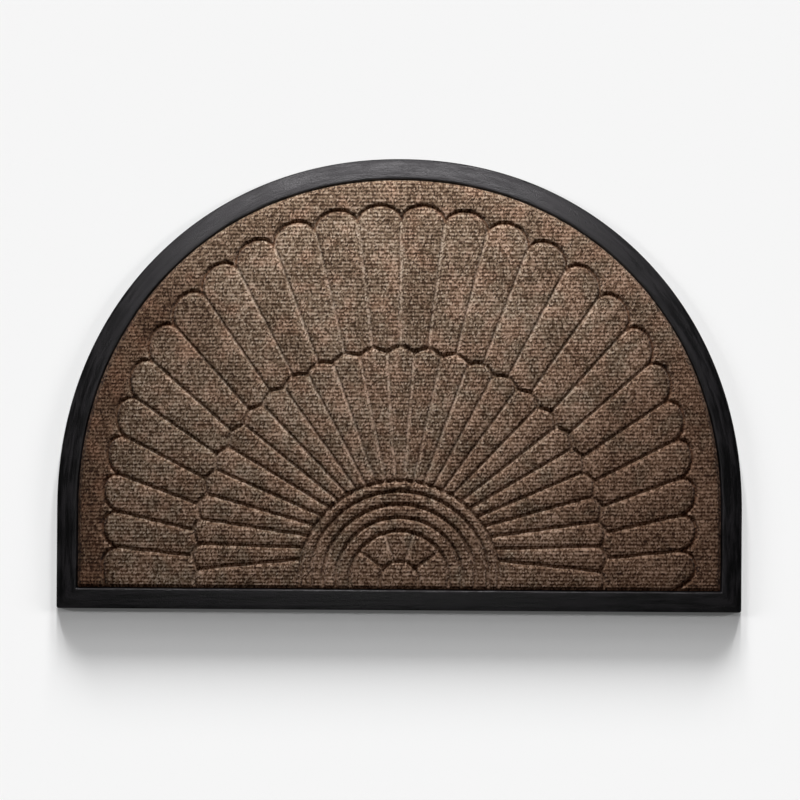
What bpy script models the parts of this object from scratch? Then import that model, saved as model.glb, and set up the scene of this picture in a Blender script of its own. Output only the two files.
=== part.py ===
"""Half-round entrance mat: a moulded rubber tray with a ramped rim, and a carpet face set in it.

The carpet face is pressed with a fan in two tiers: round-ended outer petals, a ring of inner
petals set half a petal round from them, and a hub of ring bands about a small medallion.

Units are metres, +Z up. The mat lies flat with its underside on z = 0, its straight edge
towards -Y and the origin under the middle of its outline. Mat coordinates below run from the
middle of the straight edge: x along it, y away from it. Angles are in degrees from +X.
"""

import bmesh
import bpy
import numpy as np

# Outline: straight sides under a rounded head, which is a little fuller than half an ellipse
WIDTH = 0.900
DEPTH = 0.593
SIDE_HEIGHT = 0.131
FULLNESS = 2.08
HEAD_STEPS = 72
CORNER_ROUND = 0.003
CORNER_STEPS = 3

# Heights above the floor. The groove walls below take the top of the carpet to 9.4 mm
TRAY_FLOOR_TOP = 0.0024
RIM_FOOT = 0.0020
RIM_TOP = 0.0074
CARPET_UNDERSIDE = 0.0027
GROOVE_BOTTOM = 0.0065

# Rim, from the outside in
RIM_WIDTH = 0.0280
FOOT_ROUND = 0.0012
TOP_LAND = 0.0022
INNER_CHAMFER = 0.0008
WALL_DRAFT = 0.0003
SETTING_GAP = 0.0004

# Fan, about a centre just above the lower edge of the carpet
FAN_CENTRE_Y = 0.0395
PETAL_STEP = 6.97
OUTER_GROOVES = 25
TIP_INSET = 0.0610
SCALLOP_DEPTH = 0.0185
SCALLOP_ROUND = 0.94
SCALLOP_STEPS = 8
FOOT_SET_BACK = {"right": 0.030, "left": 0.004}

# Junction of the tiers: a circle round a point above the fan centre, scalloped inwards
JUNCTION_RADIUS = 0.272
JUNCTION_RISE = 0.035
CREST_DEPTH = 0.0078
CREST_POWER = 1.5
CREST_STEPS = 6

# Inner grooves run towards a point above the fan centre and stop at the first hub ring
INNER_AIM_RISE = 0.0395
HUB_RINGS = (0.1307, 0.1168, 0.0998, 0.0827, 0.0650)
RING_STEPS = 40
WEDGE_STEPS = 7
SPOKES = (36.0, 72.0, 108.0, 144.0)
MEDALLION_RADIUS = 0.0250
MEDALLION_STEPS = 4

# Groove wall in two steps, a steep one and a rounded shoulder: how wide, and how high
GROOVE_WALL = ((0.0021, 0.0022), (0.0021, 0.0007))

# Steps of a curve that is only measured, the least distance between two points, and the
# angle between faces past which their edge is drawn sharp
MEASURING_STEPS = 720
LEAST_GAP = 1e-5
SHARP_ANGLE = 35

RUBBER = {"color": (0.017, 0.017, 0.019, 1.0), "roughness": 0.55, "metallic": 0.0}
CARPET = {"color": (0.130, 0.090, 0.068, 1.0), "roughness": 0.95, "metallic": 0.0}


def world(points, z):
    """Mat coordinates to world coordinates, as one list of (x, y, z)."""
    return [(x, y - DEPTH / 2, z) for x, y in points]


def head(inset, steps):
    """The rounded head, set in along its normal, from the right side over to the left.

    The head is a superellipse: |x/a|^n + |(y - side)/b|^n = 1.
    """
    a, b = WIDTH / 2, DEPTH - SIDE_HEIGHT
    t = np.linspace(0, np.pi, steps + 1)
    cos, sin = np.cos(t), np.clip(np.sin(t), 0, 1)
    x = a * np.sign(cos) * np.abs(cos) ** (2 / FULLNESS)
    y = b * sin ** (2 / FULLNESS)
    normal_x = np.sign(cos) * (np.abs(x) / a) ** (FULLNESS - 1) / a
    normal_y = (y / b) ** (FULLNESS - 1) / b
    size = np.hypot(normal_x, normal_y)
    return np.column_stack([x - inset * normal_x / size, SIDE_HEIGHT + y - inset * normal_y / size])


def polar(radius, angle):
    """Points at a radius and an angle about the fan centre."""
    turn = np.radians(angle)
    return np.column_stack([radius * np.cos(turn), FAN_CENTRE_Y + radius * np.sin(turn)])


def reach(angle, inset):
    """How far the outline, set in by inset, is from the fan centre along each angle."""
    side = WIDTH / 2 - inset
    up = np.linspace(0, SIDE_HEIGHT, MEASURING_STEPS, endpoint=False)
    right = np.column_stack([np.full_like(up, side), up])
    curve = np.vstack([right, head(inset, MEASURING_STEPS), mirrored(right)]) - (0, FAN_CENTRE_Y)
    turn = np.degrees(np.arctan2(curve[:, 1], curve[:, 0]))
    turn = np.where(turn < -90, turn + 360, turn)
    return np.interp(angle, turn, np.hypot(curve[:, 0], curve[:, 1]))


def scalloped(share):
    """How far along its depth a scallop has fallen, at -1 to 1 across the petal."""
    return (1 - np.sqrt(1 - SCALLOP_ROUND * share**2)) / (1 - np.sqrt(1 - SCALLOP_ROUND))


CARPET_INSET = RIM_WIDTH + SETTING_GAP
CARPET_EDGE_Y = CARPET_INSET
BELOW_CENTRE = FAN_CENTRE_Y - CARPET_EDGE_Y
HALF_FAN = (OUTER_GROOVES - 1) / 2 * PETAL_STEP
GROOVES = 90 + np.linspace(-HALF_FAN, HALF_FAN, OUTER_GROOVES)
PETAL_SIDES = np.concatenate([[GROOVES[0] - PETAL_STEP], GROOVES, [GROOVES[-1] + PETAL_STEP]])


def petal_tip(index):
    """The round end of an outer petal, from its right side to its left."""
    low, high = PETAL_SIDES[index], PETAL_SIDES[index + 1]
    share = np.linspace(-1, 1, SCALLOP_STEPS + 1)
    angle = low + (high - low) * (share + 1) / 2
    return polar(reach(angle, TIP_INSET) - SCALLOP_DEPTH * scalloped(share), angle)


def end_petal_tip(side):
    """The end petal's outer end, from its groove down to the lower edge of the carpet.

    Its upper half is a scallop, and its lower half falls back to the foot by a square law.
    """
    half = np.linspace(1, 0, SCALLOP_STEPS // 2 + 1)
    top = GROOVES[0] - PETAL_STEP / 2
    upper_angle = top + half * PETAL_STEP / 2
    upper = polar(reach(upper_angle, TIP_INSET) - SCALLOP_DEPTH * scalloped(half), upper_angle)
    down = np.linspace(0, 1, SCALLOP_STEPS // 2 + 1)[1:]
    start_x, start_y = upper[-1]
    lower_y = start_y + (CARPET_EDGE_Y - start_y) * down
    lower_x = start_x - FOOT_SET_BACK[side] * down**2
    tip = np.vstack([upper, np.column_stack([lower_x, lower_y])])
    return tip if side == "right" else tip * (-1, 1)


def crest(angle_from, angle_to, centre, steps):
    """Part of an inner petal's round crest, between two angles about the fan centre."""
    angle = np.linspace(angle_from, angle_to, steps + 1)
    turn = np.radians(angle)
    across = JUNCTION_RISE * np.cos(turn)
    circle = JUNCTION_RISE * np.sin(turn) + np.sqrt(JUNCTION_RADIUS**2 - across**2)
    share = np.abs(angle - centre) / (PETAL_STEP / 2)
    return polar(circle - CREST_DEPTH * share**CREST_POWER, angle)


def end_crest():
    """The lowest crest on the right, from the lower edge of the carpet up to its notch."""
    centre = PETAL_SIDES[0]
    angle = np.linspace(centre - PETAL_STEP / 2, centre + PETAL_STEP / 2, MEASURING_STEPS + 1)
    whole = crest(angle[0], angle[-1], centre, MEASURING_STEPS)
    foot = np.interp(CARPET_EDGE_Y, whole[:, 1], angle)
    return crest(foot, centre + PETAL_STEP / 2, centre, CREST_STEPS)


def ring(radius, steps):
    """A hub ring, from its foot on the right to its foot on the left."""
    foot = np.degrees(np.arcsin(BELOW_CENTRE / radius))
    points = polar(radius, np.linspace(-foot, 180 + foot, steps + 1))
    points[[0, -1], 1] = CARPET_EDGE_Y
    return points


def ring_end(notch):
    """Where the inner groove that starts at notch meets the first hub ring."""
    aim = np.array([0, FAN_CENTRE_Y + INNER_AIM_RISE])
    course = (aim - notch) / np.hypot(*(aim - notch))
    start = notch - (0, FAN_CENTRE_Y)
    along = start @ course
    return notch + course * (-along - np.sqrt(along**2 - start @ start + HUB_RINGS[0] ** 2))


def mirrored(points):
    """The same line on the other half of the mat, run the other way."""
    return (points * (-1, 1))[::-1]


def petal_cells():
    """Outer petals, inner petals and the plain field round them, each as a closed outline."""
    last = len(PETAL_SIDES) - 1
    half = PETAL_STEP / 2
    crests = [crest(c - half, c + half, c, CREST_STEPS) for c in PETAL_SIDES[1:-1]]
    low_right = end_crest()
    crests = [low_right, *crests, mirrored(low_right)]
    tips = [petal_tip(index) for index in range(1, last - 1)]
    tips = [end_petal_tip("right")[::-1], *tips, end_petal_tip("left")]
    middle = CREST_STEPS // 2
    cells = []
    for index, tip in enumerate(tips):
        right = crests[0] if index == 0 else crests[index][middle:]
        left = crests[-1] if index == last - 1 else crests[index + 1][: middle + 1]
        cells.append(np.vstack([tip, left[::-1], right[:-1][::-1]]))
    ends = [ring_end(line[-1]) for line in crests[:-1]]
    feet = ring(HUB_RINGS[0], RING_STEPS)[[0, -1]]
    ring_points = [feet[0], *ends, feet[1]]
    for index, line in enumerate(crests):
        cells.append(np.vstack([line, [ring_points[index + 1]], [ring_points[index]]]))
    side = WIDTH / 2 - CARPET_INSET
    outline = np.vstack([[(side, CARPET_EDGE_Y)], head(CARPET_INSET, HEAD_STEPS)])
    outline = np.vstack([outline, [(-side, CARPET_EDGE_Y)]])
    inner = np.vstack([tips[0]] + [tip[1:] for tip in tips[1:]])
    cells.append(np.vstack([outline, inner[::-1]]))
    return cells, np.array(ring_points)


def hub_cells(first_ring):
    """The ring bands, the wedges of the medallion and the dome at its middle."""
    rings = [first_ring] + [ring(radius, RING_STEPS) for radius in HUB_RINGS[1:-1]]
    inner = HUB_RINGS[-1]
    foot = np.degrees(np.arcsin(BELOW_CENTRE / inner))
    stops = [-foot, *SPOKES, 180 + foot]
    arcs = [polar(inner, np.linspace(a, b, WEDGE_STEPS + 1)) for a, b in zip(stops, stops[1:])]
    arcs[0][0, 1] = arcs[-1][-1, 1] = CARPET_EDGE_Y
    rings.append(np.vstack([arcs[0]] + [arc[1:] for arc in arcs[1:]]))
    cells = [np.vstack([outer, within[::-1]]) for outer, within in zip(rings, rings[1:])]
    stops = [0, *SPOKES, 180]
    turns = [np.linspace(a, b, MEDALLION_STEPS + 1) for a, b in zip(stops, stops[1:])]
    dome = [polar(MEDALLION_RADIUS, turn) for turn in turns]
    dome[0] = np.vstack([[(MEDALLION_RADIUS, CARPET_EDGE_Y)], dome[0]])
    dome[-1] = np.vstack([dome[-1], [(-MEDALLION_RADIUS, CARPET_EDGE_Y)]])
    cells += [np.vstack([arc, part[::-1]]) for arc, part in zip(arcs, dome)]
    cells.append(np.vstack([dome[0]] + [part[1:] for part in dome[1:]]))
    return cells


def new_object(name, mesh, material, collection):
    piece = bpy.data.objects.new(name, mesh)
    mesh.materials.append(material)
    mesh.shade_smooth()
    mesh.set_sharp_from_angle(angle=np.radians(SHARP_ANGLE))
    collection.objects.link(piece)
    return piece


def new_material(name, look):
    material = bpy.data.materials.new(name)
    material.use_nodes = True
    shader = material.node_tree.nodes["Principled BSDF"]
    shader.inputs["Base Color"].default_value = look["color"]
    shader.inputs["Roughness"].default_value = look["roughness"]
    shader.inputs["Metallic"].default_value = look["metallic"]
    return material


def inset_top(shape, face, width, rise):
    """Sets a face in by width all round and lifts it by rise."""
    bmesh.ops.inset_individual(
        shape, faces=[face], thickness=width, depth=rise, use_even_offset=True
    )


def corner_edges(shape):
    """The edges up the outside of the two square corners, which run at 45 degrees in plan."""
    found = []
    for edge in shape.edges:
        ends = [(WIDTH / 2 - abs(v.co.x), v.co.y + DEPTH / 2, v.co.z) for v in edge.verts]
        diagonal = all(abs(across - up) < LEAST_GAP for across, up, _ in ends)
        outside = max(across for across, _, _ in ends) < RIM_WIDTH - TOP_LAND
        rises = abs(ends[0][2] - ends[1][2]) > LEAST_GAP
        if diagonal and outside and rises:
            found.append(edge)
    return found


def make_tray():
    """The rubber tray, worked up from the outline of its foot, one step of the rim at a time."""
    shape = bmesh.new()
    side = WIDTH / 2
    outline = np.vstack([[(side, 0)], head(0, HEAD_STEPS), [(-side, 0)]])
    foot = shape.faces.new([shape.verts.new(point) for point in world(outline, 0)])
    raised = bmesh.ops.extrude_face_region(shape, geom=[foot], use_keep_orig=True)
    top = next(item for item in raised["geom"] if isinstance(item, bmesh.types.BMFace))
    lifted = [item for item in raised["geom"] if isinstance(item, bmesh.types.BMVert)]
    bmesh.ops.translate(shape, verts=lifted, vec=(0, 0, RIM_FOOT))
    bmesh.ops.recalc_face_normals(shape, faces=shape.faces)
    ramp_width = RIM_WIDTH - FOOT_ROUND - TOP_LAND - INNER_CHAMFER - WALL_DRAFT
    ramp_rise = RIM_TOP - RIM_FOOT - FOOT_ROUND
    inset_top(shape, top, FOOT_ROUND, FOOT_ROUND)
    inset_top(shape, top, ramp_width, ramp_rise)
    inset_top(shape, top, TOP_LAND, 0)
    inset_top(shape, top, INNER_CHAMFER, -INNER_CHAMFER)
    inset_top(shape, top, WALL_DRAFT, TRAY_FLOOR_TOP - RIM_TOP + INNER_CHAMFER)
    corners = corner_edges(shape)
    bmesh.ops.bevel(
        shape, geom=corners, offset=CORNER_ROUND, segments=CORNER_STEPS, affect="EDGES", profile=0.5
    )
    bmesh.ops.triangulate(shape, faces=shape.faces)
    mesh = bpy.data.meshes.new("rubber_tray")
    shape.to_mesh(mesh)
    shape.free()
    return mesh


def make_carpet():
    """The carpet face: every cell of the fan is raised from the level of the groove bottoms."""
    shape = bmesh.new()
    petals, first_ring = petal_cells()
    for outline in petals + hub_cells(first_ring):
        shape.faces.new([shape.verts.new(point) for point in world(outline, GROOVE_BOTTOM)])
    bmesh.ops.remove_doubles(shape, verts=shape.verts, dist=LEAST_GAP)
    bmesh.ops.recalc_face_normals(shape, faces=shape.faces)
    cells = list(shape.faces)
    if cells[0].normal.z < 0:
        bmesh.ops.reverse_faces(shape, faces=cells)
    rim = [edge for edge in shape.edges if edge.is_boundary]
    skirt = bmesh.ops.extrude_edge_only(shape, edges=rim)["geom"]
    low = [item for item in skirt if isinstance(item, bmesh.types.BMVert)]
    bmesh.ops.translate(shape, verts=low, vec=(0, 0, CARPET_UNDERSIDE - GROOVE_BOTTOM))
    hem = [item for item in skirt if isinstance(item, bmesh.types.BMEdge)]
    hem = [edge for edge in hem if edge.is_boundary]
    bmesh.ops.contextual_create(shape, geom=hem)
    for width, rise in GROOVE_WALL:
        bmesh.ops.inset_individual(
            shape, faces=cells, thickness=width, depth=rise, use_even_offset=True
        )
    bmesh.ops.triangulate(shape, faces=shape.faces)
    bmesh.ops.recalc_face_normals(shape, faces=shape.faces)
    mesh = bpy.data.meshes.new("carpet_face")
    shape.to_mesh(mesh)
    shape.free()
    return mesh


for old in list(bpy.data.objects):
    bpy.data.objects.remove(old, do_unlink=True)

mat = bpy.data.collections.new("half_round_mat")
bpy.context.scene.collection.children.link(mat)
new_object("rubber_tray", make_tray(), new_material("rubber", RUBBER), mat)
new_object("carpet_face", make_carpet(), new_material("carpet", CARPET), mat)
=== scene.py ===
# %% [markdown]
# # A half-round entrance mat
#
# The mat is a black rubber tray with a ramped rim, and a brown carpet face pressed with a fan.
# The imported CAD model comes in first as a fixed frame. It has the sizes, and everything made
# here is measured from the same middle and the same floor. Looks come after that: the ribs and
# loops of the carpet, the grain of the rubber, the light and the camera.

import bpy
import numpy as np
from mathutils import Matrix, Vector
from mathutils.geometry import delaunay_2d_cdt


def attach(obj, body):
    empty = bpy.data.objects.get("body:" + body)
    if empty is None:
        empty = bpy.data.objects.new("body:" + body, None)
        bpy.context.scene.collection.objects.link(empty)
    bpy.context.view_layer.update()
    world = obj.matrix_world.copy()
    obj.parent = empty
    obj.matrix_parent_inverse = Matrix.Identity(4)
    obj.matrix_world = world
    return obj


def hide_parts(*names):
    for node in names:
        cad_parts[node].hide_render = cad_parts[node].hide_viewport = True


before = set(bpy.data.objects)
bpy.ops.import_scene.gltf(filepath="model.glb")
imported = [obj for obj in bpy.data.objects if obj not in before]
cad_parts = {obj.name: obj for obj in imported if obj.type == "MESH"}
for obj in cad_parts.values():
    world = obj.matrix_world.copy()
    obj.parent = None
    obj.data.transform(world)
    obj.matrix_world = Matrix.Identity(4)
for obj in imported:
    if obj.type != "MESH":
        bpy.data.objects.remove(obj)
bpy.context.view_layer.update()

# %% [markdown]
# ## Sizes
#
# The sizes of the CAD model are repeated here in metres, because a scene can't read them from
# it. Plan coordinates run from the middle of the straight edge: x along it and y away from it.
# The frame has its origin under the middle of the mat, half a depth further on.

# %% Sizes of the mat
WIDTH = 0.900
DEPTH = 0.593
SIDE_HEIGHT = 0.131
FULLNESS = 2.08
RIM_WIDTH = 0.0280
CARPET_INSET = RIM_WIDTH + 0.0004

FAN_CENTRE_Y = 0.0395
PETAL_STEP = 6.97
OUTER_GROOVES = 25
TIP_INSET = 0.0610
SCALLOP_DEPTH = 0.0185
SCALLOP_ROUND = 0.94
FOOT_SET_BACK = {"right": 0.030, "left": 0.004}
JUNCTION_RADIUS = 0.272
JUNCTION_RISE = 0.035
CREST_DEPTH = 0.0078
CREST_POWER = 1.5
INNER_AIM_RISE = 0.0395
HUB_RINGS = (0.1307, 0.1168, 0.0998, 0.0827, 0.0650)
SPOKES = (36.0, 72.0, 108.0, 144.0)
MEDALLION_RADIUS = 0.0250

HALF_FAN = (OUTER_GROOVES - 1) / 2 * PETAL_STEP
GROOVES = 90 + np.linspace(-HALF_FAN, HALF_FAN, OUTER_GROOVES)
PETAL_SIDES = np.concatenate([[GROOVES[0] - PETAL_STEP], GROOVES, [GROOVES[-1] + PETAL_STEP]])
print("fan of", OUTER_GROOVES + 1, "outer petals, the first groove at", GROOVES[0].round(1))

# %% [markdown]
# ## The outline
#
# The head of the mat is a little fuller than half an ellipse. A superellipse gives that with one
# number: two makes an ellipse, and more makes it squarer. Setting it in along its normal keeps
# the rim the same width all the way round, which scaling it down wouldn't.


# %% Outline of the mat at any inset
def head(inset, steps):
    """The round head, from the right side over to the left, set in along its normal.

    |x/a|^n + |(y - side)/b|^n = 1, with its points moved by inset against the gradient.
    """
    a, b = WIDTH / 2, DEPTH - SIDE_HEIGHT
    t = np.linspace(0, np.pi, steps + 1)
    cos, sin = np.cos(t), np.clip(np.sin(t), 0, 1)
    x = a * np.sign(cos) * np.abs(cos) ** (2 / FULLNESS)
    y = b * sin ** (2 / FULLNESS)
    normal_x = np.sign(cos) * (np.abs(x) / a) ** (FULLNESS - 1) / a
    normal_y = (y / b) ** (FULLNESS - 1) / b
    size = np.hypot(normal_x, normal_y)
    return np.column_stack([x - inset * normal_x / size, SIDE_HEIGHT + y - inset * normal_y / size])


def mirrored(points):
    """The same line on the other half of the mat, run the other way."""
    return (points * (-1, 1))[::-1]


def outline(inset, corner, steps):
    """The whole outline, anticlockwise from the middle of the straight edge.

    The lower corners are quarter circles of radius corner. Steps are: along half the straight
    edge, round a corner, up a side, and over half the head.
    """
    along, turning, up, over = steps
    side = WIDTH / 2 - inset
    edge = np.column_stack([np.linspace(0, side - corner, along), np.full(along, inset)])
    turn = np.linspace(-np.pi / 2, 0, turning + 1)[1:]
    arc = corner * np.column_stack([np.cos(turn), np.sin(turn)]) + (side - corner, inset + corner)
    wall = np.linspace(inset + corner, SIDE_HEIGHT, up + 1)[1:-1]
    wall = np.column_stack([np.full_like(wall, side), wall])
    half = np.vstack([edge, arc, wall, head(inset, 2 * over)[: over + 1]])
    return np.vstack([half, mirrored(half)[1:-1]])


def length_along(line):
    """Distance along a line to each of its points: the running sum of its steps."""
    return np.concatenate([[0], np.cumsum(np.hypot(*np.diff(line, axis=0).T))])


def resampled(line, spacing):
    """The same line with its points evenly spaced, by interpolation along its length."""
    along = length_along(line)
    places = np.linspace(0, along[-1], max(2, int(round(along[-1] / spacing)) + 1))
    return np.column_stack([np.interp(places, along, line[:, axis]) for axis in (0, 1)])


print("outline", length_along(outline(0, 0.003, (40, 6, 14, 120)))[-1].round(3), "m round")

# %% [markdown]
# ## The fan
#
# The fan is pressed into the carpet as a set of grooves. Each is drawn first as a line in plan,
# by the rules that a pattern maker would set it out with: straight rays from the fan's centre,
# round petal tips that keep their distance from the rim, a junction of small crests, and rings
# round the hub. The lines place the grooves, and a formula on the distance to them makes walls.


# %% Rules for the lines of the fan
def polar(radius, angle):
    """Points at a radius and an angle, in degrees, about the fan's centre."""
    turn = np.radians(angle)
    return np.column_stack([radius * np.cos(turn), FAN_CENTRE_Y + radius * np.sin(turn)])


def reach(angle, inset):
    """How far the head and the sides, set in by inset, are from the fan's centre at each angle."""
    up = np.linspace(0, SIDE_HEIGHT, 200, endpoint=False)
    side = np.column_stack([np.full_like(up, WIDTH / 2 - inset), up])
    curve = np.vstack([side, head(inset, 1440), mirrored(side)]) - (0, FAN_CENTRE_Y)
    turn = np.degrees(np.arctan2(curve[:, 1], curve[:, 0]))
    turn = np.where(turn < -90, turn + 360, turn)
    return np.interp(angle, turn, np.hypot(*curve.T))


def tip_radius(angle, share):
    """Radius of a petal's round end: the reach less a scallop, at -1 to 1 across the petal.

    The scallop falls as 1 - sqrt(1 - k u^2), which is nearly half a circle.
    """
    fall = (1 - np.sqrt(1 - SCALLOP_ROUND * share**2)) / (1 - np.sqrt(1 - SCALLOP_ROUND))
    return reach(angle, TIP_INSET) - SCALLOP_DEPTH * fall


def petal_tip(low, high, steps=24):
    """The round end of an outer petal, between the grooves on its two sides."""
    share = np.linspace(-1, 1, steps + 1)
    angle = low + (high - low) * (share + 1) / 2
    return polar(tip_radius(angle, share), angle)


def end_petal_tip(side, steps=12):
    """The end petal's outer end. Its lower half falls back to its foot by a square law."""
    share = np.linspace(1, 0, steps + 1)
    angle = GROOVES[0] + (share - 1) * PETAL_STEP / 2
    upper = polar(tip_radius(angle, share), angle)
    down = np.linspace(0, 1, steps + 1)[1:]
    start_x, start_y = upper[-1]
    lower_y = start_y + (CARPET_INSET - start_y) * down
    tip = np.vstack([upper, np.column_stack([start_x - FOOT_SET_BACK[side] * down**2, lower_y])])
    return tip if side == "right" else tip * (-1, 1)


def junction(angle):
    """Radius of the junction of the tiers: a circle about a point above the fan's centre.

    r = rise sin(a) + sqrt(R^2 - (rise cos(a))^2)
    """
    turn = np.radians(angle)
    across = JUNCTION_RISE * np.cos(turn)
    return JUNCTION_RISE * np.sin(turn) + np.sqrt(JUNCTION_RADIUS**2 - across**2)


def crest(centre, steps=16):
    """The crest of an inner petal: the junction less depth |u|^1.5, at u = -1 to 1 across it."""
    share = np.linspace(-1, 1, steps + 1)
    angle = centre + share * PETAL_STEP / 2
    line = polar(junction(angle) - CREST_DEPTH * np.abs(share) ** CREST_POWER, angle)
    return line[line[:, 1] > CARPET_INSET]


def ray(angle):
    """A groove between two outer petals, from its crest out to the notch between their tips."""
    notch = tip_radius(np.array([angle]), np.array([1.0]))[0]
    return polar(np.array([junction(angle), notch]), angle)


def inner_groove(centre):
    """From the notch after a crest towards the aim above the fan's centre, to the first ring."""
    notch = polar(junction(centre + PETAL_STEP / 2) - CREST_DEPTH, centre + PETAL_STEP / 2)[0]
    aim = np.array([0, FAN_CENTRE_Y + INNER_AIM_RISE])
    course = (aim - notch) / np.hypot(*(aim - notch))
    start = notch - (0, FAN_CENTRE_Y)
    along = start @ course
    end = notch + course * (-along - np.sqrt(along**2 - start @ start + HUB_RINGS[0] ** 2))
    return np.vstack([notch, end])


def hub_ring(radius, steps=60):
    """A ring of the hub, from its foot on the right to its foot on the left."""
    foot = np.degrees(np.arcsin((FAN_CENTRE_Y - CARPET_INSET) / radius))
    return polar(radius, np.linspace(-foot, 180 + foot, steps + 1))


# %% Lines of the fan and of the carpet's edge
tips = [petal_tip(low, high) for low, high in zip(GROOVES, GROOVES[1:])]
tips += [end_petal_tip("right"), end_petal_tip("left")]
crests = [crest(centre) for centre in PETAL_SIDES]
medallion_foot = np.array([[MEDALLION_RADIUS, CARPET_INSET]])
medallion = polar(MEDALLION_RADIUS, np.linspace(0, 180, 21))
medallion = np.vstack([medallion_foot, medallion, mirrored(medallion_foot)])

EDGE_STRIP = 24
RAYS = [ray(angle) for angle in GROOVES] + [inner_groove(centre) for centre in PETAL_SIDES[:-1]]
RAYS += [polar(np.array([MEDALLION_RADIUS, HUB_RINGS[-1]]), angle) for angle in SPOKES]
ARCS = tips + crests + [hub_ring(radius) for radius in HUB_RINGS] + [medallion]
EDGE = outline(CARPET_INSET, 0.001, (120, 4, 40, 240))
EDGE = np.vstack([EDGE, EDGE[:1]])
EDGES = [EDGE[i : i + EDGE_STRIP + 1] for i in range(0, len(EDGE) - 1, EDGE_STRIP)]
total = sum(length_along(line)[-1] for line in RAYS + ARCS)
print(len(RAYS), "straight and", len(ARCS), "curved grooves,", round(total, 2), "m in all")

# %% [markdown]
# ## The carpet's surface
#
# The face is needle-punch carpet: fibres drawn up into loops, in straight ribs 4.8 mm apart. The
# press flattens them in the grooves. One formula gives the height anywhere: the level of the
# face, a slight pillow towards the middle of each petal, the ribs and their loops, less a groove
# with a flat bottom and steep walls, which is a bell curve with a fourth power in place of a
# square. The rays are pressed less deep than the arcs. Where two grooves meet, their shares are
# joined as 1 - (1 - a)(1 - b), which rounds the corners of the petals as the press does.

# %% Height of the carpet anywhere
CARPET_UNDERSIDE = 0.0027
FACE_LEVEL = 0.0083
GROOVE_DEPTH = 0.0031
GROOVE_SPREAD = 0.0027
RAY_SHARE = 0.6
EDGE_SPREAD = 0.0030
STEEPNESS = 4
PILLOW = 0.0014
PILLOW_REACH = 0.0050
FARTHEST = 0.020
SCATTER = (127.1, 311.7, 43758.5453)
RIB_PITCH = 0.0048
RIB_HEIGHT = 0.0006
RIBS_START = 0.0024
RIBS_FULL = 0.0040
LOOP_PITCH = 0.0043
LOOP_HEIGHT = 0.0003


def distance(points, lines):
    """Distance in plan from each point to the nearest of the lines, up to FARTHEST.

    The nearest point of a step from a to b is a + clip((p - a).(b - a) / |b - a|^2, 0, 1)(b - a).
    """
    nearest = np.full(len(points), FARTHEST)
    for line in lines:
        low, high = line.min(axis=0) - FARTHEST, line.max(axis=0) + FARTHEST
        close = np.flatnonzero(((points > low) & (points < high)).all(axis=1))
        start, step = line[:-1], np.diff(line, axis=0)
        offset = points[close, None, :] - start
        share = np.clip((offset * step).sum(axis=2) / (step**2).sum(axis=1), 0, 1)
        gap = np.hypot(*np.moveaxis(offset - share[..., None] * step, 2, 0)).min(axis=1)
        nearest[close] = np.minimum(nearest[close], gap)
    return nearest


def bell(gap, spread):
    """A groove's share of its depth at a distance from its line: exp(-(d / spread)^4)."""
    return np.exp(-((gap / spread) ** STEEPNESS))


def ramp(value, start, full):
    """From 0 at start to 1 at full, with a soft start and end: 3 t^2 - 2 t^3."""
    t = np.clip((value - start) / (full - start), 0, 1)
    return t * t * (3 - 2 * t)


def scatter(a, b):
    """A number from 0 to 1 for each pair of whole numbers: the tail of a large sine."""
    return np.modf(np.abs(np.sin(a * SCATTER[0] + b * SCATTER[1]) * SCATTER[2]))[0]


def carpet_surface(points):
    """The height of the face above the floor at each point, its share of a groove and of a ray.

    Rays are pressed less deep than arcs, and the edge as deep.
    """
    to_rays, to_arcs, to_edge = (distance(points, lines) for lines in (RAYS, ARCS, EDGES))
    rays, arcs = bell(to_rays, GROOVE_SPREAD), bell(to_arcs, GROOVE_SPREAD)
    others = (1 - arcs) * (1 - bell(to_edge, EDGE_SPREAD))
    pressed, depth = 1 - (1 - rays) * others, 1 - (1 - RAY_SHARE * rays) * others
    gap = np.minimum(np.minimum(to_rays, to_arcs), to_edge)
    pillow = PILLOW * (1 - np.exp(-gap / PILLOW_REACH))
    x, y = points.T
    rib = np.round(y / RIB_PITCH)
    crest = (1 + np.cos(2 * np.pi * y / RIB_PITCH)) / 2
    stagger = LOOP_PITCH / 2 * (rib % 2)
    loop = (1 + np.cos(2 * np.pi * (x - stagger) / LOOP_PITCH)) / 2
    lot = scatter(rib, np.round((x - stagger) / LOOP_PITCH))
    raised = ramp(gap, RIBS_START, RIBS_FULL)
    ribs = 2 * RIB_HEIGHT * (crest - 0.5) + LOOP_HEIGHT * (0.5 + lot) * crest * (2 * loop - 1)
    return FACE_LEVEL + pillow + raised * ribs - GROOVE_DEPTH * depth, pressed, rays * others


# %% [markdown]
# ## The carpet's mesh
#
# A plain grid would cut steps in the walls of the grooves, because they cross it at every angle.
# So the points are laid where the shape needs them: along each groove's bottom, walls and
# shoulders, along each rib's crest and valley, and at the top of each loop. A Delaunay
# triangulation joins them, and its long edges then follow the grooves and the ribs.

# %% Points of the carpet
GROOVE_LEVELS = (0.0, 0.0012, 0.0020, 0.0028, 0.0037)
EDGE_LEVELS = (0.0013, 0.0022, 0.0031, 0.0041)
LINE_SPACING = 0.0026
RIB_MARGIN = 0.0043
LEAST_GAP = 0.0009
LEVEL_SLACK = 0.00005
JITTER = (0.0007, 0.0004)
HALF_COLUMNS = int(np.ceil(WIDTH / LOOP_PITCH))


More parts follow.
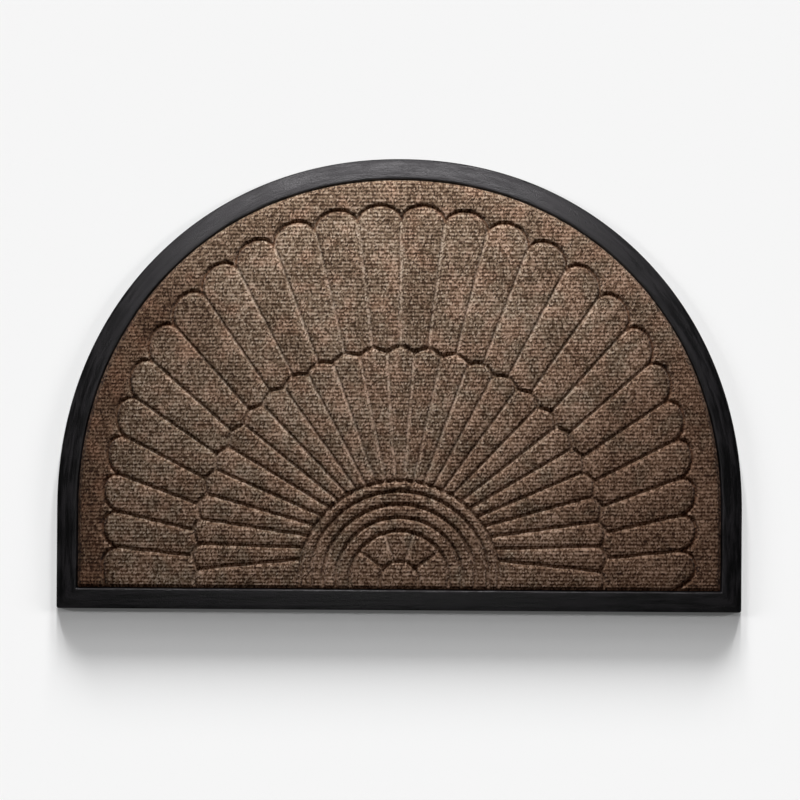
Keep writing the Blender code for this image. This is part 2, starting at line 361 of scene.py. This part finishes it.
def beside(lines, levels):
    """Points along the lines at each level to both sides, and the level of each."""
    points, levels_of = [], []
    for line in lines:
        line = resampled(line, LINE_SPACING)
        tangent = np.gradient(line, axis=0)
        tangent /= np.hypot(*tangent.T)[:, None]
        normal = tangent[:, ::-1] * (-1, 1)
        for level in levels:
            for side in (1, -1) if level else (1,):
                points.append(line + side * level * normal)
                levels_of.append(np.full(len(line), level))
    return np.vstack(points), np.concatenate(levels_of)


def pile_points():
    """Crests and valleys of the ribs, half a pitch apart, with a point on and between loops."""
    rows = np.arange(0, DEPTH, RIB_PITCH / 2)
    columns = np.arange(-HALF_COLUMNS, HALF_COLUMNS + 1)
    row, column = np.meshgrid(np.arange(len(rows)), columns, indexing="ij")
    stagger = np.where(row % 2, LOOP_PITCH / 4, LOOP_PITCH / 2 * (row // 2 % 2))
    x = column * LOOP_PITCH / 2 + stagger + (scatter(row, column) - 0.5) * JITTER[0]
    y = rows[row] + (scatter(column, row + 0.5) - 0.5) * JITTER[1]
    return np.column_stack([x.ravel(), y.ravel()])


def inside(points, margin):
    """Which points are inside the carpet's outline by a margin."""
    top = head(CARPET_INSET + margin, 720)[::-1]
    x, y = points.T
    under = y < np.interp(x, *top.T)
    return under & (np.abs(x) < WIDTH / 2 - CARPET_INSET - margin) & (y > CARPET_INSET + margin)


def own_side(lines, levels):
    """The points beside the lines that are in the carpet, and no nearer to another line."""
    points, levels_of = beside(lines, levels)
    clear = distance(points, lines) > levels_of - LEVEL_SLACK
    return points[inside(points, LEAST_GAP) & clear]


EVERY_LINE = RAYS + ARCS
rim_points = resampled(EDGE, LINE_SPACING)[:-1]
fan_points = own_side(EVERY_LINE, GROOVE_LEVELS)
edge_points = own_side(EDGES, EDGE_LEVELS)
edge_points = edge_points[distance(edge_points, EVERY_LINE) > GROOVE_LEVELS[-1]]
rib_points = pile_points()
rib_points = rib_points[inside(rib_points, EDGE_LEVELS[-1] + LEAST_GAP)]
rib_points = rib_points[distance(rib_points, EVERY_LINE) > RIB_MARGIN]

loose = np.vstack([fan_points, edge_points, rib_points])
cells = np.round(loose / LEAST_GAP).astype(int)
first = np.sort(np.unique(cells, axis=0, return_index=True)[1])
plan = np.vstack([rim_points, loose[first]])
print("points: edge", len(rim_points), "fan", len(fan_points), "ribs", len(rib_points))

# %% [markdown]
# ### Triangles, and what the finish needs to know
#
# Four numbers are kept at each point for the finish, because a shader can't work out where the
# grooves are: the share of a groove, the share of a ray, the painted shade of the plain field, and
# the painted shade in the crease round a petal's tip. The plain field round the fan is painted
# darker as painted shade, most of all at the left and least at the right. The crease round each
# tip is painted dark as painted shade, the same whichever way the light falls.

# %% Triangles of the carpet
MILLI = 1000
INSIDE_ONLY = 1
MERGE_UNDER = 0.0001


def triangulated(points, border):
    """Delaunay triangles inside a border, whose points come first. Worked in millimetres."""
    loop = [list(range(border))]
    made = delaunay_2d_cdt((points * MILLI).tolist(), [], loop, INSIDE_ONLY, MERGE_UNDER, False)
    return np.array([tuple(p) for p in made[0]]) / MILLI, np.array(made[2])


def closed_sheet(plan, triangles, border, tops, bottom):
    """Vertices and faces of a sheet: its top, a wall round its border and a flat underside."""
    y_shift = (0, -DEPTH / 2)
    upper = np.column_stack([plan + y_shift, tops])
    lower = np.column_stack([plan[:border] + y_shift, np.full(border, bottom)])
    ring = np.arange(border)
    after = np.roll(ring, -1)
    low = len(plan)
    wall = np.column_stack([ring + low, after + low, after, ring])
    faces = triangles.tolist() + wall.tolist() + [(ring[::-1] + low).tolist()]
    return np.vstack([upper, lower]), faces


def new_piece(name, vertices, faces, sharp):
    """A mesh object at the origin, smooth apart from edges past an angle, riding on the mat."""
    mesh = bpy.data.meshes.new(name)
    mesh.from_pydata(vertices, [], faces)
    mesh.shade_smooth()
    mesh.set_sharp_from_angle(angle=np.radians(sharp))
    piece = bpy.data.objects.new(name, mesh)
    bpy.context.scene.collection.objects.link(piece)
    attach(piece, "root")
    return piece


FIELD_STARTS = 0.074
FIELD_FULL = 0.058
FIELD_SHADE = {"right": 0.16, "head": 0.28, "left": 0.86}
SHADE_REACH = (0.22, 0.36)
CREASE_SPREAD = 0.0014


def field_shade(points):
    """How much painted shade the plain field gets: most at the left, least at the right."""
    offset = points - (0, FAN_CENTRE_Y)
    angle = np.degrees(np.arctan2(offset[:, 1], offset[:, 0]))
    radius = np.hypot(*offset.T)
    field = ramp(radius, reach(angle, FIELD_STARTS), reach(angle, FIELD_FULL))
    left, right = ramp(-points[:, 0], *SHADE_REACH), ramp(points[:, 0], *SHADE_REACH)
    head_shade = FIELD_SHADE["head"]
    more = left * (FIELD_SHADE["left"] - head_shade) + right * (FIELD_SHADE["right"] - head_shade)
    return field * (head_shade + more)


border = len(rim_points)
plan, triangles = triangulated(plan, border)
height, pressed, rays = carpet_surface(plan)
vertices, faces = closed_sheet(plan, triangles, border, height, CARPET_UNDERSIDE)
carpet = new_piece("carpet_pile", vertices, faces, sharp=75)
# field and crease carry painted shade to the finish.
known = {
    "pressed": pressed,
    "rays": rays,
    "field": field_shade(plan),
    "crease": bell(distance(plan, tips), CREASE_SPREAD),
}
for name, values in known.items():
    attribute = carpet.data.attributes.new(name, "FLOAT", "POINT")
    attribute.data.foreach_set("value", np.concatenate([values, values[:border]]))
print("carpet", len(triangles), "triangles, heights", height.min().round(4), height.max().round(4))

# %% [markdown]
# ### Its texture map
#
# The carpet brings its own texture map. The face fills the whole square, and the underside and
# the cut edge, which lie on the rubber, get the two free corners over the round head.

# %% Map of the carpet
FACE_SIZE = np.array([WIDTH - 2 * CARPET_INSET, DEPTH - 2 * CARPET_INSET])
MAP_MARGIN = 0.003
CORNER_SHARE = 0.145
UNDERSIDE_SHRINK = 0.98


def face_map(plan, triangles, border):
    """UV of every face corner: the face, then the wall in one corner, the underside in another."""
    unit = (plan + (FACE_SIZE[0] / 2, -CARPET_INSET)) / FACE_SIZE
    unit = MAP_MARGIN + unit * (1 - 2 * MAP_MARGIN)
    ring = np.arange(border)
    share = np.column_stack([ring, ring + 1, ring + 1, ring]) / border
    height = np.broadcast_to([0, 0, 1, 1], share.shape)
    wall = np.stack([1 - CORNER_SHARE * share, 1 - CORNER_SHARE * height], axis=2)
    under = unit[ring[::-1]] * CORNER_SHARE * UNDERSIDE_SHRINK + (0, 1 - CORNER_SHARE)
    return np.vstack([unit[triangles.ravel()], wall.reshape(-1, 2), under])


carpet.data.uv_layers.new(name="OFBake")
face_uv = face_map(plan, triangles, border)
carpet.data.uv_layers["OFBake"].data.foreach_set("uv", face_uv.ravel())
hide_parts("carpet_face")

# %% [markdown]
# ## Shader maths as expressions
#
# A finish is a graph of nodes. Here a small class wraps each link, so that adding, taking away
# and multiplying are written as sums, and one method makes any other node.


# %% Helpers for finishes
class Wire:
    """A value on its way between two nodes, which Python's arithmetic can be used on."""

    def __init__(self, finish, socket):
        self.finish, self.socket = finish, socket

    def out(self, name):
        """Another output of the same node."""
        return Wire(self.finish, self.socket.node.outputs[name])

    def maths(self, operation, *others):
        inputs = dict(enumerate((self, *others)))
        return self.finish.node("ShaderNodeMath", {"operation": operation}, inputs)

    def __add__(self, other):
        return self.maths("ADD", other)

    def __sub__(self, other):
        return self.maths("SUBTRACT", other)

    def __rsub__(self, other):
        return self * -1 + other

    def __mul__(self, other):
        return self.maths("MULTIPLY", other)

    __radd__ = __add__


class Finish:
    """A material with one Principled shader, whose sockets take numbers, colours or wires."""

    def __init__(self, name, **constants):
        self.material = bpy.data.materials.new(name)
        self.material.use_nodes = True
        self.tree = self.material.node_tree
        self.shader = self.tree.nodes["Principled BSDF"]
        self.put(self.shader, {key.replace("_", " "): value for key, value in constants.items()})

    def put(self, node, inputs):
        for key, value in inputs.items():
            if isinstance(value, Wire):
                self.tree.links.new(value.socket, node.inputs[key])
            else:
                node.inputs[key].default_value = value

    def node(self, kind, settings=None, inputs=None, output=0):
        """Adds a node: its settings first, then what its sockets get. A ramp's stops are a list."""
        node = self.tree.nodes.new(kind)
        for key, value in (settings or {}).items():
            if key == "stops":
                for _ in value[2:]:
                    node.color_ramp.elements.new(1)
                for stop, (place, colour) in zip(node.color_ramp.elements, value):
                    stop.position, stop.color = place, (*colour, 1)
            else:
                setattr(node, key, value)
        self.put(node, inputs or {})
        return Wire(self, node.outputs[output])

    def mix(self, factor, first, second, blend="MIX"):
        """Mixes two colours."""
        settings = {"data_type": "RGBA", "blend_type": blend}
        return self.node("ShaderNodeMix", settings, {0: factor, 6: first, 7: second}, 2)

    def stretched(self, place, scale):
        """A place times a scale for each axis, so that a pattern can be longer one way."""
        settings = {"operation": "MULTIPLY"}
        return self.node("ShaderNodeVectorMath", settings, {0: place, 1: scale})

    def noise(self, place, scale, detail=2.0, roughness=0.5, flat=True):
        settings = {"noise_dimensions": "2D" if flat else "3D"}
        inputs = {"Vector": place, "Scale": scale, "Detail": detail, "Roughness": roughness}
        return self.node("ShaderNodeTexNoise", settings, inputs)

    def within(self, value, low, high):
        """From 0 at low to 1 at high, held there outside them, with soft ends."""
        settings = {"interpolation_type": "SMOOTHSTEP"}
        inputs = {"Value": value, "From Min": low, "From Max": high}
        return self.node("ShaderNodeMapRange", settings, inputs)

    def bump(self, height, depth, strength):
        """Normal of a relief whose height, from 0 to 1, is depth metres deep."""
        inputs = {"Height": height, "Distance": depth, "Strength": strength}
        return self.node("ShaderNodeBump", {}, inputs)


print("helpers ready")

# %% [markdown]
# ## The heather of the carpet
#
# The fibre is dyed before it is punched, in browns, tans, a dull red and an olive, so each tuft
# is a mixture and no two are alike. Random cells of two millimetres give each tuft its tone, and
# a finer noise gives its fibres. The valleys between the ribs and the gaps between the loops are
# painted shade. Along the bottom of a ray the fibres lie flat and look paler. The colour is painted
# more olive towards the upper left and redder towards the lower right, as painted light. The
# field, the creases and a place at the lower right are painted shade, and a place at the left is
# painted darker. Each of the two places is a middle, a radius up to which it is full, one where it
# ends, and a share. One ramp of tones holds the colours, so every pattern only moves a place along
# it.

# %% Carpet finish
HEATHER = [
    (0.00, (0.022, 0.0090, 0.0040)),
    (0.25, (0.070, 0.0380, 0.0200)),
    (0.50, (0.150, 0.0965, 0.0640)),
    (0.75, (0.264, 0.1880, 0.1380)),
    (1.00, (0.420, 0.3240, 0.2560)),
]
WHITE = (1, 1, 1, 1)
RED_CAST = (1.06, 0.98, 0.93, 1)
OLIVE_CAST = (0.97, 1.01, 0.99, 1)
TUFT_SIZE = (0.0019, 0.0022, 1)
FIBRE_SIZE = 0.0010
LOOP_SIZE = (LOOP_PITCH, RIB_PITCH, 1)
CAST_SIZE = 0.030
CLOUD_SIZE = 0.060
SHADE_TINT = (0.55, 0.42, 0.34, 1)
CREASE_SHADE = 1.1
# The place at the lower right is painted shade; the one at the left is painted darker.
SHADED_PLACES = (((-0.274, 0.058, 0), 0.0, 0.085, 0.55), ((0.42, -0.16, 0), 0.16, 0.24, 0.40))
MIDDLE_TONE = 0.45
TUFT_CONTRAST = 1.05
FIBRE_CONTRAST = 0.5
CLOUD_CONTRAST = 0.5
RIB_CONTRAST = 0.19
LOOP_CONTRAST = 0.10
LOOP_MIDDLE = 0.38
RAY_PALER = 0.26
RIBS_PRESSED_OUT = (0.15, 0.70)
RAY_BOTTOM = (0.70, 0.98)
CAST_RANGE = (0.35, 0.65)

pile = Finish("carpet_heather", Roughness=0.95, Sheen_Roughness=0.6)
pile.put(pile.shader, {"Specular IOR Level": 0.15, "Sheen Weight": 0.05})
place = pile.node("ShaderNodeTexCoord").out("Object")
pressed, rays, shade, crease = (
    pile.node("ShaderNodeAttribute", {"attribute_name": name}).out("Fac")
    for name in ("pressed", "rays", "field", "crease")
)
x = pile.node("ShaderNodeSeparateXYZ", {}, {0: place})
y = x.out("Y")
rib_wave = ((y + DEPTH / 2) * (2 * np.pi / RIB_PITCH)).maths("COSINE")
loops = pile.node(
    "ShaderNodeTexVoronoi",
    {"voronoi_dimensions": "2D"},
    {0: pile.stretched(place, 1 / np.array(LOOP_SIZE)), "Scale": 1.0, "Randomness": 0.8},
)
tufts = pile.node(
    "ShaderNodeTexVoronoi",
    {"voronoi_dimensions": "2D"},
    {0: pile.stretched(place, 1 / np.array(TUFT_SIZE)), "Scale": 1.0},
    "Color",
)
fibres = pile.noise(place, 1 / FIBRE_SIZE, detail=1.0)
casts = pile.noise(place, 1 / CAST_SIZE, detail=2.0)
clouds = pile.noise(place, 1 / CLOUD_SIZE, detail=3.0, roughness=0.6)

raised = 1 - pile.within(pressed, *RIBS_PRESSED_OUT)
bottom = pile.within(rays, *RAY_BOTTOM)
speckle = (tufts - 0.5) * TUFT_CONTRAST + (fibres - 0.5) * FIBRE_CONTRAST
# Painted shade: darker in the valleys between the ribs and in the gaps between the loops.
rows = rib_wave * RIB_CONTRAST + (LOOP_MIDDLE - loops) * LOOP_CONTRAST
tone = MIDDLE_TONE + speckle + rows * raised + bottom * RAY_PALER
tone = tone + (clouds - 0.5) * CLOUD_CONTRAST
colour = pile.node("ShaderNodeValToRGB", {"stops": HEATHER}, {0: tone})
# Painted light: more olive towards the upper left, redder towards the lower right, over random
# casts.
redder = pile.within(casts + (x * 0.5 - y) * 0.5, *CAST_RANGE)
colour = pile.mix(1.0, colour, pile.mix(redder, OLIVE_CAST, RED_CAST), "MULTIPLY")
apart = {"operation": "DISTANCE"}
# Painted shade: the field, the place at the lower right and the creases; the left place is darker.
for middle, near, far, share in SHADED_PLACES:
    gap = pile.node("ShaderNodeVectorMath", apart, {0: place, 1: middle}, "Value")
    shade = shade + (1 - pile.within(gap, near, far)) * share
# Painted shade in the crease round each petal's tip, the same under any light.
shade = shade + crease * CREASE_SHADE
colour = pile.mix(1.0, colour, pile.mix(shade, WHITE, SHADE_TINT), "MULTIPLY")
pile.put(pile.shader, {"Base Color": colour, "Normal": pile.bump(fibres, 0.0005, 0.7)})
carpet.data.materials.append(pile.material)
print("heather of", len(HEATHER), "tones,", len(pile.tree.nodes), "nodes")

# %% [markdown]
# ## The rubber tray
#
# The tray is one moulding. Its rim is one profile carried round the outline: a rounded foot, a
# long ramp that a foot can't trip on, a narrow land, and a wall down to the floor that the
# carpet is set on. Each row of the profile is an inset, a height, and the radius of the lower
# corners. Every row is the outline at another inset, so one grid of points holds them all. It
# has finer roundings than the solid, and lies on the same shape.

# %% Rim and tray
RIM_PROFILE = (
    (0.0008, 0.0, 0.0030),
    (0.0003, 0.0002, 0.0030),
    (0.0, 0.0006, 0.0030),
    (0.0, 0.0018, 0.0030),
    (0.0002, 0.0024, 0.0030),
    (0.0007, 0.0029, 0.0030),
    (0.0016, 0.0033, 0.0030),
    (0.0080, 0.0046, 0.0028),
    (0.0150, 0.0060, 0.0026),
    (0.0205, 0.0070, 0.0024),
    (0.0238, 0.0074, 0.0024),
    (0.0252, 0.0074, 0.0020),
    (0.0260, 0.0072, 0.0018),
    (0.0266, 0.0068, 0.0015),
    (0.0271, 0.0062, 0.0012),
    (0.0275, 0.0052, 0.0011),
    (0.0278, 0.0040, 0.0010),
    (0.0280, 0.0024, 0.0010),
)
RING_STEPS = (50, 6, 14, 130)


def lofted(profile):
    """One ring of points for each (inset, height, corner radius), from the foot inwards."""
    rings = []
    for inset, height, corner in profile:
        ring = outline(inset, corner, RING_STEPS) - (0, DEPTH / 2)
        rings.append(np.column_stack([ring, np.full(len(ring), height)]))
    return np.array(rings)


def loft_faces(rows, columns):
    """Quads between neighbouring rings, closed round, and a cap over the first and the last."""
    row, column = np.meshgrid(np.arange(rows - 1), np.arange(columns), indexing="ij")
    after = (column + 1) % columns
    corners = [row * columns + column, row * columns + after]
    quads = np.stack([*corners, corners[1] + columns, corners[0] + columns], axis=2)
    first = np.arange(columns)[::-1].tolist()
    last = (np.arange(columns) + (rows - 1) * columns).tolist()
    return quads.reshape(-1, 4).tolist() + [first, last]


rings = lofted(RIM_PROFILE)
rim = new_piece("rubber_rim", rings.reshape(-1, 3), loft_faces(*rings.shape[:2]), sharp=50)
along = length_along(np.vstack([rings[0], rings[0, :1]])[:, :2])
turn = 2 * np.pi * along[:-1] / along[-1]
across = length_along(np.array(RIM_PROFILE)[:, :2])[:, None]
curl = along[-1] / (2 * np.pi)
streak = np.stack(np.broadcast_arrays(curl * np.cos(turn), curl * np.sin(turn), across), axis=2)
streaks = rim.data.attributes.new("streaks", "FLOAT_VECTOR", "POINT")
streaks.data.foreach_set("vector", streak.ravel())
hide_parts("rubber_tray")
print("rim", rings.shape[0], "rings of", rings.shape[1], "points")

# %% [markdown]
# ## Black rubber
#
# Moulded rubber is nearly black, with a satin gloss that fine scratches and the flow of the
# moulding draw out along the rim. The streaks run along it because they are read from places
# kept on the mesh: the distance round the rim, wound on a circle so that it closes without a
# seam, and the distance across it. A paler streak is also rougher, so that it spreads more light
# to where the gloss doesn't reach, and shows on the dark sides too.

# %% Rubber finish
RUBBER_DARK = (0.0004, 0.0004, 0.0006, 1)
RUBBER_PALE = (0.0080, 0.0070, 0.0083, 1)
STREAKS_A_METRE = (18, 18, 190)
GRAIN_A_METRE = 700.0
DUST_A_METRE = 28.0
TONE_RANGE = (0.41, 0.62)
SATIN = 0.32
RELIEF_DEPTH = 0.0014

rubber = Finish("moulded_rubber", Roughness=0.5)
rubber.put(rubber.shader, {"Specular IOR Level": 0.5})
place = rubber.node("ShaderNodeTexCoord").out("Object")
flow = rubber.node("ShaderNodeAttribute", {"attribute_name": "streaks"}).out("Vector")
flow = rubber.stretched(flow, STREAKS_A_METRE)
drawn = rubber.noise(flow, 1.0, detail=3.0, roughness=0.65, flat=False)
grain = rubber.noise(place, GRAIN_A_METRE, detail=2.0, flat=False)
dust = rubber.noise(place, DUST_A_METRE, detail=4.0, roughness=0.65, flat=False)
tone = rubber.within(drawn * 0.75 + dust * 0.25, *TONE_RANGE)
colour = rubber.mix(tone, RUBBER_DARK, RUBBER_PALE)
rubber.put(
    rubber.shader,
    {
        "Base Color": colour,
        "Roughness": SATIN + tone * 0.14 + grain * 0.08,
        "Normal": rubber.bump(drawn * 0.65 + grain * 0.35, RELIEF_DEPTH, 0.8),
    },
)
rim.data.materials.append(rubber.material)
print("rubber,", len(rubber.tree.nodes), "nodes")

# %% [markdown]
# ## Floor, light and camera
#
# The floor is plain and pale. Low, wide suns from beyond the head make the long soft shadow in
# front of the straight edge, and two from the sides the faint one beside it. They act on the
# floor alone. Each sun's row is its bearing, its elevation, its spread, all in degrees, and its
# share of the light. A near panel beyond the head lights the carpet, which so falls off in
# brightness towards the hub. Two weak ones at its sides reach round the outer petals, and a warm
# one overhead opens the shadows. The rim has panels of its own, high up, because satin rubber
# shows the shape of what it reflects, and these give it one broad gloss over the head. The
# camera looks straight down.

# %% Floor
FLOOR_HALF = 8.0
FLOOR_DROP = 0.0002
floor_mesh = bpy.data.meshes.new("floor")
corners = np.array([(-1, -1), (1, -1), (1, 1), (-1, 1)]) * FLOOR_HALF
floor_mesh.from_pydata(np.column_stack([corners, np.full(4, -FLOOR_DROP)]), [], [(0, 1, 2, 3)])
floor = bpy.data.objects.new("floor", floor_mesh)
bpy.context.scene.collection.objects.link(floor)
FLOOR_PALE = (0.86, 0.86, 0.86, 1)
FLOOR_GLOW = 0.08
paint = Finish("floor_paint", Roughness=1.0, Base_Color=FLOOR_PALE, Emission_Color=FLOOR_PALE)
paint.put(paint.shader, {"Specular IOR Level": 0.0, "Emission Strength": FLOOR_GLOW})
floor_mesh.materials.append(paint.material)
print("floor", 2 * FLOOR_HALF, "m square")

# %% Light
AMBIENT = 0.02
SWEEP_LIGHT = 3.05
SWEEPS = (
    (-12, 3.7, 3.2, 0.20),
    (0, 3.7, 3.2, 0.18),
    (12, 3.7, 3.2, 0.20),
    (0, 6.5, 4.0, 0.12),
    (0, 11.0, 6.0, 0.08),
    (-75, 7.5, 5.5, 0.11),
    (75, 7.5, 5.5, 0.11),
)


def group_of(name, *objects):
    """A collection of the objects that a light acts on, or that shade others from it."""
    group = bpy.data.collections.new(name)
    for item in objects:
        group.objects.link(item)
    return group


def aimed_light(name, kind, place, target, power, lit, **settings):
    """A light at a place, turned towards a target, that lights only the objects of a group."""
    data = bpy.data.lights.new(name, kind)
    data.energy = power
    for key, value in settings.items():
        setattr(data, key, value)
    light = bpy.data.objects.new(name, data)
    light.location = place
    light.rotation_mode = "QUATERNION"
    light.rotation_quaternion = (Vector(target) - Vector(place)).to_track_quat("-Z", "Y")
    light.light_linking.receiver_collection = lit
    bpy.context.scene.collection.objects.link(light)
    return light


world = bpy.data.worlds.new("studio")
world.use_nodes = True
world.node_tree.nodes["Background"].inputs["Color"].default_value = (1, 1, 1, 1)
world.node_tree.nodes["Background"].inputs["Strength"].default_value = AMBIENT
bpy.context.scene.world = world

rim_group = group_of("lit_rim", rim)
carpet_group = group_of("lit_carpet", carpet)
floor_group = group_of("lit_floor", floor)
for *angles, share in SWEEPS:
    bearing, elevation, spread = np.radians(angles)
    place = (np.sin(bearing), np.cos(bearing), np.tan(elevation))
    power = SWEEP_LIGHT * share / np.sin(elevation)
    sweep = aimed_light("sweep", "SUN", place, (0, 0, 0), power, floor_group, angle=spread)
    sweep.light_linking.blocker_collection = rim_group
near = {"shape": "RECTANGLE", "size": 0.40, "size_y": 0.18, "color": (0.98, 1.0, 1.02)}
aimed_light("near_panel", "AREA", (-0.04, 0.92, 0.52), (0, 0, 0), 18.0, carpet_group, **near)
for side, power in ((-1, 2.6), (1, 2.2)):
    place, target = (side * 0.75, 0.92, 0.50), (side * 0.2, 0, 0)
    aimed_light("side_panel", "AREA", place, target, power, carpet_group, **near)
high = {"shape": "RECTANGLE", "size": 1.30, "size_y": 0.45, "color": (1.0, 0.96, 1.0)}
aimed_light("high_panel", "AREA", (-0.10, 1.12, 1.32), (0, 0.1, 0), 25.5, rim_group, **high)
top = {"shape": "RECTANGLE", "size": 0.50, "size_y": 0.30}
aimed_light("top_panel", "AREA", (-0.08, 0.5, 1.6), (0, 0.2, 0), 2.4, rim_group, **top)
low = {"shape": "RECTANGLE", "size": 0.60, "size_y": 0.40}
aimed_light("front_panel", "AREA", (-0.05, -0.85, 1.45), (0, 0, 0), 1.6, rim_group, **low)
fill = {"shape": "RECTANGLE", "size": 1.00, "size_y": 0.80, "color": (1.0, 0.74, 0.58)}
aimed_light("fill_panel", "AREA", (0, -0.2, 1.6), (0, 0, 0), 2.2, carpet_group, **fill)

# %% Camera
PICTURE_WIDTH = 1.0508
PICTURE_LEVEL = 0.003
PICTURE_MIDDLE = (-0.0004, -0.0201)
PICTURE_TURN = 0.4
LENS = 85.0
SENSOR = 36.0
data = bpy.data.cameras.new("camera")
data.lens, data.sensor_width = LENS, SENSOR
camera = bpy.data.objects.new("camera", data)
camera.location = (*PICTURE_MIDDLE, PICTURE_LEVEL + PICTURE_WIDTH * LENS / SENSOR)
camera.rotation_euler = (0, 0, np.radians(PICTURE_TURN))
bpy.context.scene.collection.objects.link(camera)
bpy.context.scene.camera = camera
bpy.context.scene.view_settings.view_transform = "Standard"
print("camera", round(camera.location.z, 3), "m up")

bpy.context.view_layer.update()
